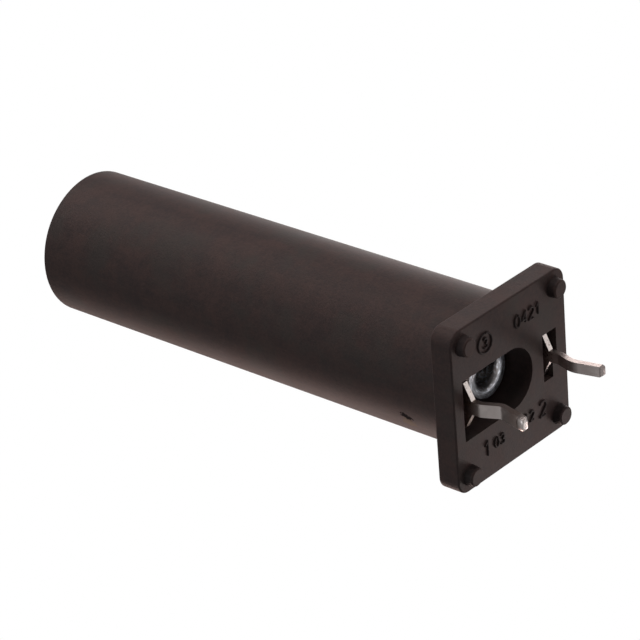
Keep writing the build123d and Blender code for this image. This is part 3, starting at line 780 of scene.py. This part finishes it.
class FUSEHOLDER_OT_housing(bpy.types.Operator):
    """Gives the housing its moulded finish, and the plate's underside its numbers and their ring"""

    bl_idname = "fuseholder.housing"
    bl_label = "Housing"

    def execute(self, context):
        plastic, marks = scene_settings("fuse_plastic"), scene_settings("fuse_marks")
        finish = moulded_plastic("housing_plastic", tuple(plastic.housing_colour),
                                 roughness=plastic.roughness, grain=plastic.grain_size,
                                 depth=plastic.grain_depth, handled_and_shaded=True)
        dress("housing", finish)
        parts = []
        for digits, scale, corner in PLATE_NUMBERS:
            height = marks.numeral_height * scale
            for count, digit in enumerate(digits):
                start = (corner[0] * MM + count * DIGIT_PITCH * height, corner[1] * MM)
                for stroke in digit_strokes(digit, height):
                    parts.append(underside_mark(stroke, start, marks))
        ring = arc_points((0, 0), (marks.ring_radius, marks.ring_radius), *CLOSED_TURN)
        parts.append(underside_mark(ring, RING_MIDDLE, marks))
        join_rows("plate_marks", parts, finish, "base")
        return {"FINISHED"}


class FUSEHOLDER_OT_terminals(bpy.types.Operator):
    """Gives both stamped terminals their tinned finish, and the -X pin its rounded solder tip"""

    bl_idname = "fuseholder.terminals"
    bl_label = "Terminals"

    def execute(self, context):
        finish = tinned_strip("tinned_strip", tuple(scene_settings("fuse_metal").tin_colour))
        for node in ("bottom_terminal", "side_terminal"):
            dress(node, finish)
        middle = (0.05 * MM - PIN_OFFSET, 0.0, PIN_TIPS + SOLDER_HALF_SIZES[2])
        tip = rounded_lump(middle, SOLDER_HALF_SIZES, SOLDER_LEAN)
        join_rows("solder_tip", [tip], finish, "base")
        return {"FINISHED"}


class FUSEHOLDER_OT_contact(bpy.types.Operator):
    """Gives the sprung bottom contact its finishes, and swaps its spring for a coiled wire"""

    bl_idname = "fuseholder.contact"
    bl_label = "Bottom Contact"

    def execute(self, context):
        nickel = tuple(scene_settings("fuse_metal").nickel_colour)
        spring_finish = drawn_wire("spring_wire", (0.55, 0.55, 0.56))
        # The tarnish colour also paints the plate's reflection in the bore and on the -X side.
        dress("contact_eyelet", rolled_eyelet("nickel_eyelet", nickel, tarnish=(0.25, 0.20, 0.17)))
        dress("contact_spring", spring_finish)
        dress("plunger_cup", pressed_metal("nickel_brass", (0.66, 0.64, 0.58),
                                           dull=(0.52, 0.48, 0.38), base_roughness=0.16))
        dress("plunger_rivet", turned_metal("contact_rivet", (0.74, 0.73, 0.71),
                                            dull=(0.5, 0.49, 0.46), pitch=0.09 * MM,
                                            base_roughness=0.18))
        low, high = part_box("contact_spring")
        wire, closed_gap, grind = 0.45 * MM, 0.03 * MM, 0.06 * MM
        rows = coil_spring(high[0], wire, low[2], high[2], closed_gap, grind)
        spring = join_rows("spring_coil", [rows], spring_finish, "base")
        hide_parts("contact_spring")
        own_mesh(spring)
        return {"FINISHED"}


class FUSEHOLDER_OT_fuse(bpy.types.Operator):
    """Gives the cartridge fuse its glass, caps, solder and element"""

    bl_idname = "fuseholder.fuse"
    bl_label = "Cartridge Fuse"

    def execute(self, context):
        dress("fuse_tube", clear_glass("fuse_glass"))
        cap = pressed_metal("fuse_cap_metal", (0.70, 0.69, 0.66), dull=(0.52, 0.50, 0.44),
                            base_roughness=0.14)
        dress("fuse_cap_lower", cap)
        dress("fuse_cap_upper", cap)
        dress("fuse_element", tinned_strip("element_metal", (0.66, 0.61, 0.54)))
        solder = solder_metal("solder", (0.56, 0.56, 0.57))
        dress("solder_lower", solder)
        dress("solder_upper", solder)
        return {"FINISHED"}


class FUSEHOLDER_OT_carrier(bpy.types.Operator):
    """Gives the carrier's contact sleeve, grip ring, cage and washer their finishes"""

    bl_idname = "fuseholder.carrier"
    bl_label = "Fuse Carrier"

    def execute(self, context):
        plastic, metal = scene_settings("fuse_plastic"), scene_settings("fuse_metal")
        dress("contact_sleeve", pressed_metal("sleeve_brass", tuple(metal.brass_colour),
                                              dull=(0.5, 0.36, 0.17), base_roughness=0.2))
        dress("grip_ring", drawn_wire("ring_wire", (0.57, 0.57, 0.58)))
        dress("carrier_cage", moulded_plastic("carrier_plastic", tuple(plastic.carrier_colour),
                                              roughness=0.42, grain=plastic.grain_size * 0.8,
                                              depth=plastic.grain_depth * 0.4))
        dress("thrust_washer", turned_metal("washer_steel", (0.6, 0.6, 0.6),
                                            dull=(0.44, 0.44, 0.45), pitch=0.05 * MM,
                                            base_roughness=0.22))
        return {"FINISHED"}


class FUSEHOLDER_OT_knob(bpy.types.Operator):
    """Gives the knob and its swivel stud their finishes, and the knob its raised turning arrows"""

    bl_idname = "fuseholder.knob"
    bl_label = "Knob"

    def execute(self, context):
        plastic, metal = scene_settings("fuse_plastic"), scene_settings("fuse_metal")
        marks = scene_settings("fuse_marks")
        finish = moulded_plastic("knob_plastic", tuple(plastic.housing_colour),
                                 roughness=plastic.roughness - 0.08, grain=plastic.grain_size,
                                 depth=plastic.grain_depth * 0.8)
        dress("knob", finish)
        dress("knob_stud", turned_metal("stud_brass", tuple(metal.brass_colour),
                                        dull=(0.48, 0.34, 0.16), pitch=0.1 * MM,
                                        base_roughness=0.2))
        parts = []
        for middle in (90, 270):
            for stroke in turning_arrow(ARROW_RADIUS, middle):
                grid = bead(stroke, marks.stroke_width * 1.2, marks.arrow_relief, MARK_ROOT, 1)
                grid[..., 2] += KNOB_FACE
                parts.append(grid)
        join_rows("knob_arrows", parts, finish, "knob")
        return {"FINISHED"}


class FUSEHOLDER_OT_studio(bpy.types.Operator):
    """Adds the pale floor, the soft lamps, the room's light and the camera"""

    bl_idname = "fuseholder.studio"
    bl_label = "Studio"

    def execute(self, context):
        studio = scene_settings("fuse_studio")
        scene = bpy.context.scene
        scene.view_settings.view_transform = "Standard"
        self.add_floor()
        self.add_room(studio.room_level, studio.gloss_level, studio.window_level)
        base = Vector((0, 0, 0))
        middle = Vector((0, 0, 22 * MM))
        warm = (1.0, 0.88, 0.85)
        pale = (1.0, 0.91, 0.89)
        rosy = (1.0, 0.73, 0.66)
        cool = (0.9, 0.96, 1.0)
        # Name, power, side, place, the point it is aimed at, and colour.
        lamps = (
            ("key", studio.key_power, 0.30, (0.2025, 0.0375, -0.2181), base, warm),
            ("near", studio.near_power, 0.02, (0.045, 0.045, -0.025), base, warm),
            ("glint", studio.glint_power, 0.035, (0.06, -0.039, -0.29), base, pale),
            ("top", studio.top_power, 0.25, (-0.037, -0.358, 0.040), middle, pale),
            ("mouth", studio.mouth_power, 0.25, (0.0, -0.216, 0.310), middle, pale),
            ("rim", studio.rim_power, 0.20, (0.0, 0.328, 0.171), middle, rosy),
            ("side", studio.side_power, 0.25, (-0.342, -0.036, 0.108), middle, cool),
            ("fill", studio.fill_power, 0.30, (0.340, -0.036, 0.130), middle, pale),
        )
        for name, power, size, place, target, colour in lamps:
            light = bpy.data.lights.new(name, "AREA")
            light.shape = "SQUARE"
            light.size = size
            light.energy = power
            light.color = colour
            lamp = bpy.data.objects.new(name, light)
            lamp.location = place
            lamp.visible_glossy = name != "key"     # reflections show every lamp but the key
            lamp.rotation_euler = (target - Vector(place)).to_track_quat("-Z", "Y").to_euler()
            scene.collection.objects.link(lamp)
        camera = bpy.data.objects.new("camera", bpy.data.cameras.new("camera"))
        camera.data.sensor_width = 36.0
        camera.data.lens = studio.focal_length
        camera.data.clip_start = 0.01
        camera.data.clip_end = 10.0
        camera.location = studio.camera_place
        camera.rotation_euler = studio.camera_turn
        scene.collection.objects.link(camera)
        scene.camera = camera
        return {"FINISHED"}

    def add_floor(self):
        """A pale floor at the pins' tips, which fades into the white room away from the object.

        It has one side only, so nothing hides the object from below.
        """
        signs = ((-1, -1), (1, -1), (1, 1), (-1, 1))
        corners = [(x * FLOOR_HALF, y * FLOOR_HALF, PIN_TIPS) for x, y in signs]
        floor = mesh_object("floor", corners, [[0, 1, 2, 3]])
        finish = Finish("floor_card", Roughness=0.9)
        cloud = finish.grain(0.08, detail=2.0)
        finish.set(Base_Color=finish.mix(cloud, (0.87, 0.89, 0.89), (0.90, 0.92, 0.92)))
        below = finish.add("ShaderNodeNewGeometry", {}, {}, "Backfacing")
        x, y, z = finish.axes()
        away = (x * x + y * y).root().over(*FLOOR_FADE)
        clear = finish.add("ShaderNodeBsdfTransparent", {}, {})
        card = Signal(finish, finish.shader.outputs[0])
        both = finish.add("ShaderNodeMixShader", {}, {0: below.most(away), 1: card, 2: clear})
        finish.tree.links.new(both.socket, finish.output.inputs["Surface"])
        floor.data.materials.append(finish.material)
        floor.visible_diffuse = False
        floor.visible_glossy = False
        floor.visible_shadow = False

    def add_room(self, level, gloss, window):
        """Even light from all round, which the camera and glass see as white.

        Reflections see it at the gloss level, with two bright patches below the plate.
        """
        world = bpy.data.worlds.new("room")
        room = Nodes(world)
        background = room.tree.nodes["Background"]
        background.inputs["Color"].default_value = (1, 1, 1, 1)
        rays = room.add("ShaderNodeLightPath", {}, {})
        kinds = ("Is Camera Ray", "Is Glossy Ray", "Is Transmission Ray")
        camera, glossy, through = rays.siblings(*kinds)
        view = room.add("ShaderNodeTexCoord", {}, {}, "Generated")
        edge, full = math.cos(math.radians(PATCH_EDGE)), math.cos(math.radians(PATCH_FULL))
        bright = gloss
        product = {"operation": "DOT_PRODUCT"}
        for middle in PATCHES:
            towards = room.add("ShaderNodeVectorMath", product, {0: view, 1: middle}, "Value")
            bright = bright + towards.over(edge, full) * window
        seen = camera.most(through)
        other = 1 - seen.most(glossy)
        total = seen.most(glossy * bright) + other * level
        room.tree.links.new(total.socket, background.inputs["Strength"])
        bpy.context.scene.world = world


# ---- Panel and registration -----------------------------------------------------------------

OPERATORS = (
    FUSEHOLDER_OT_housing,
    FUSEHOLDER_OT_terminals,
    FUSEHOLDER_OT_contact,
    FUSEHOLDER_OT_fuse,
    FUSEHOLDER_OT_carrier,
    FUSEHOLDER_OT_knob,
    FUSEHOLDER_OT_studio,
)

GROUPS = {
    "fuse_plastic": PlasticSettings,
    "fuse_metal": MetalSettings,
    "fuse_marks": MarkSettings,
    "fuse_studio": StudioSettings,
}


class FUSEHOLDER_PT_parts(bpy.types.Panel):
    """Lists the settings and the operators"""

    bl_idname = "FUSEHOLDER_PT_parts"
    bl_label = "Fuse Holder"
    bl_space_type = "VIEW_3D"
    bl_region_type = "UI"
    bl_category = "Fuse Holder"

    def draw(self, context):
        for kind, group in GROUPS.items():
            box = self.layout.box()
            for prop in group.__annotations__:
                box.prop(getattr(context.scene, kind), prop)
        for operator in OPERATORS:
            self.layout.operator(operator.bl_idname)


def register():
    for cls in (*GROUPS.values(), *OPERATORS, FUSEHOLDER_PT_parts):
        bpy.utils.register_class(cls)
    for kind, group in GROUPS.items():
        setattr(bpy.types.Scene, kind, PointerProperty(type=group))


def unregister():
    for kind in GROUPS:
        delattr(bpy.types.Scene, kind)
    for cls in reversed((*GROUPS.values(), *OPERATORS, FUSEHOLDER_PT_parts)):
        bpy.utils.unregister_class(cls)


def main():
    """Makes every piece and the studio."""
    register()
    for operator in OPERATORS:
        group, name = operator.bl_idname.split(".")
        getattr(getattr(bpy.ops, group), name)()


if __name__ == "__main__":
    main()
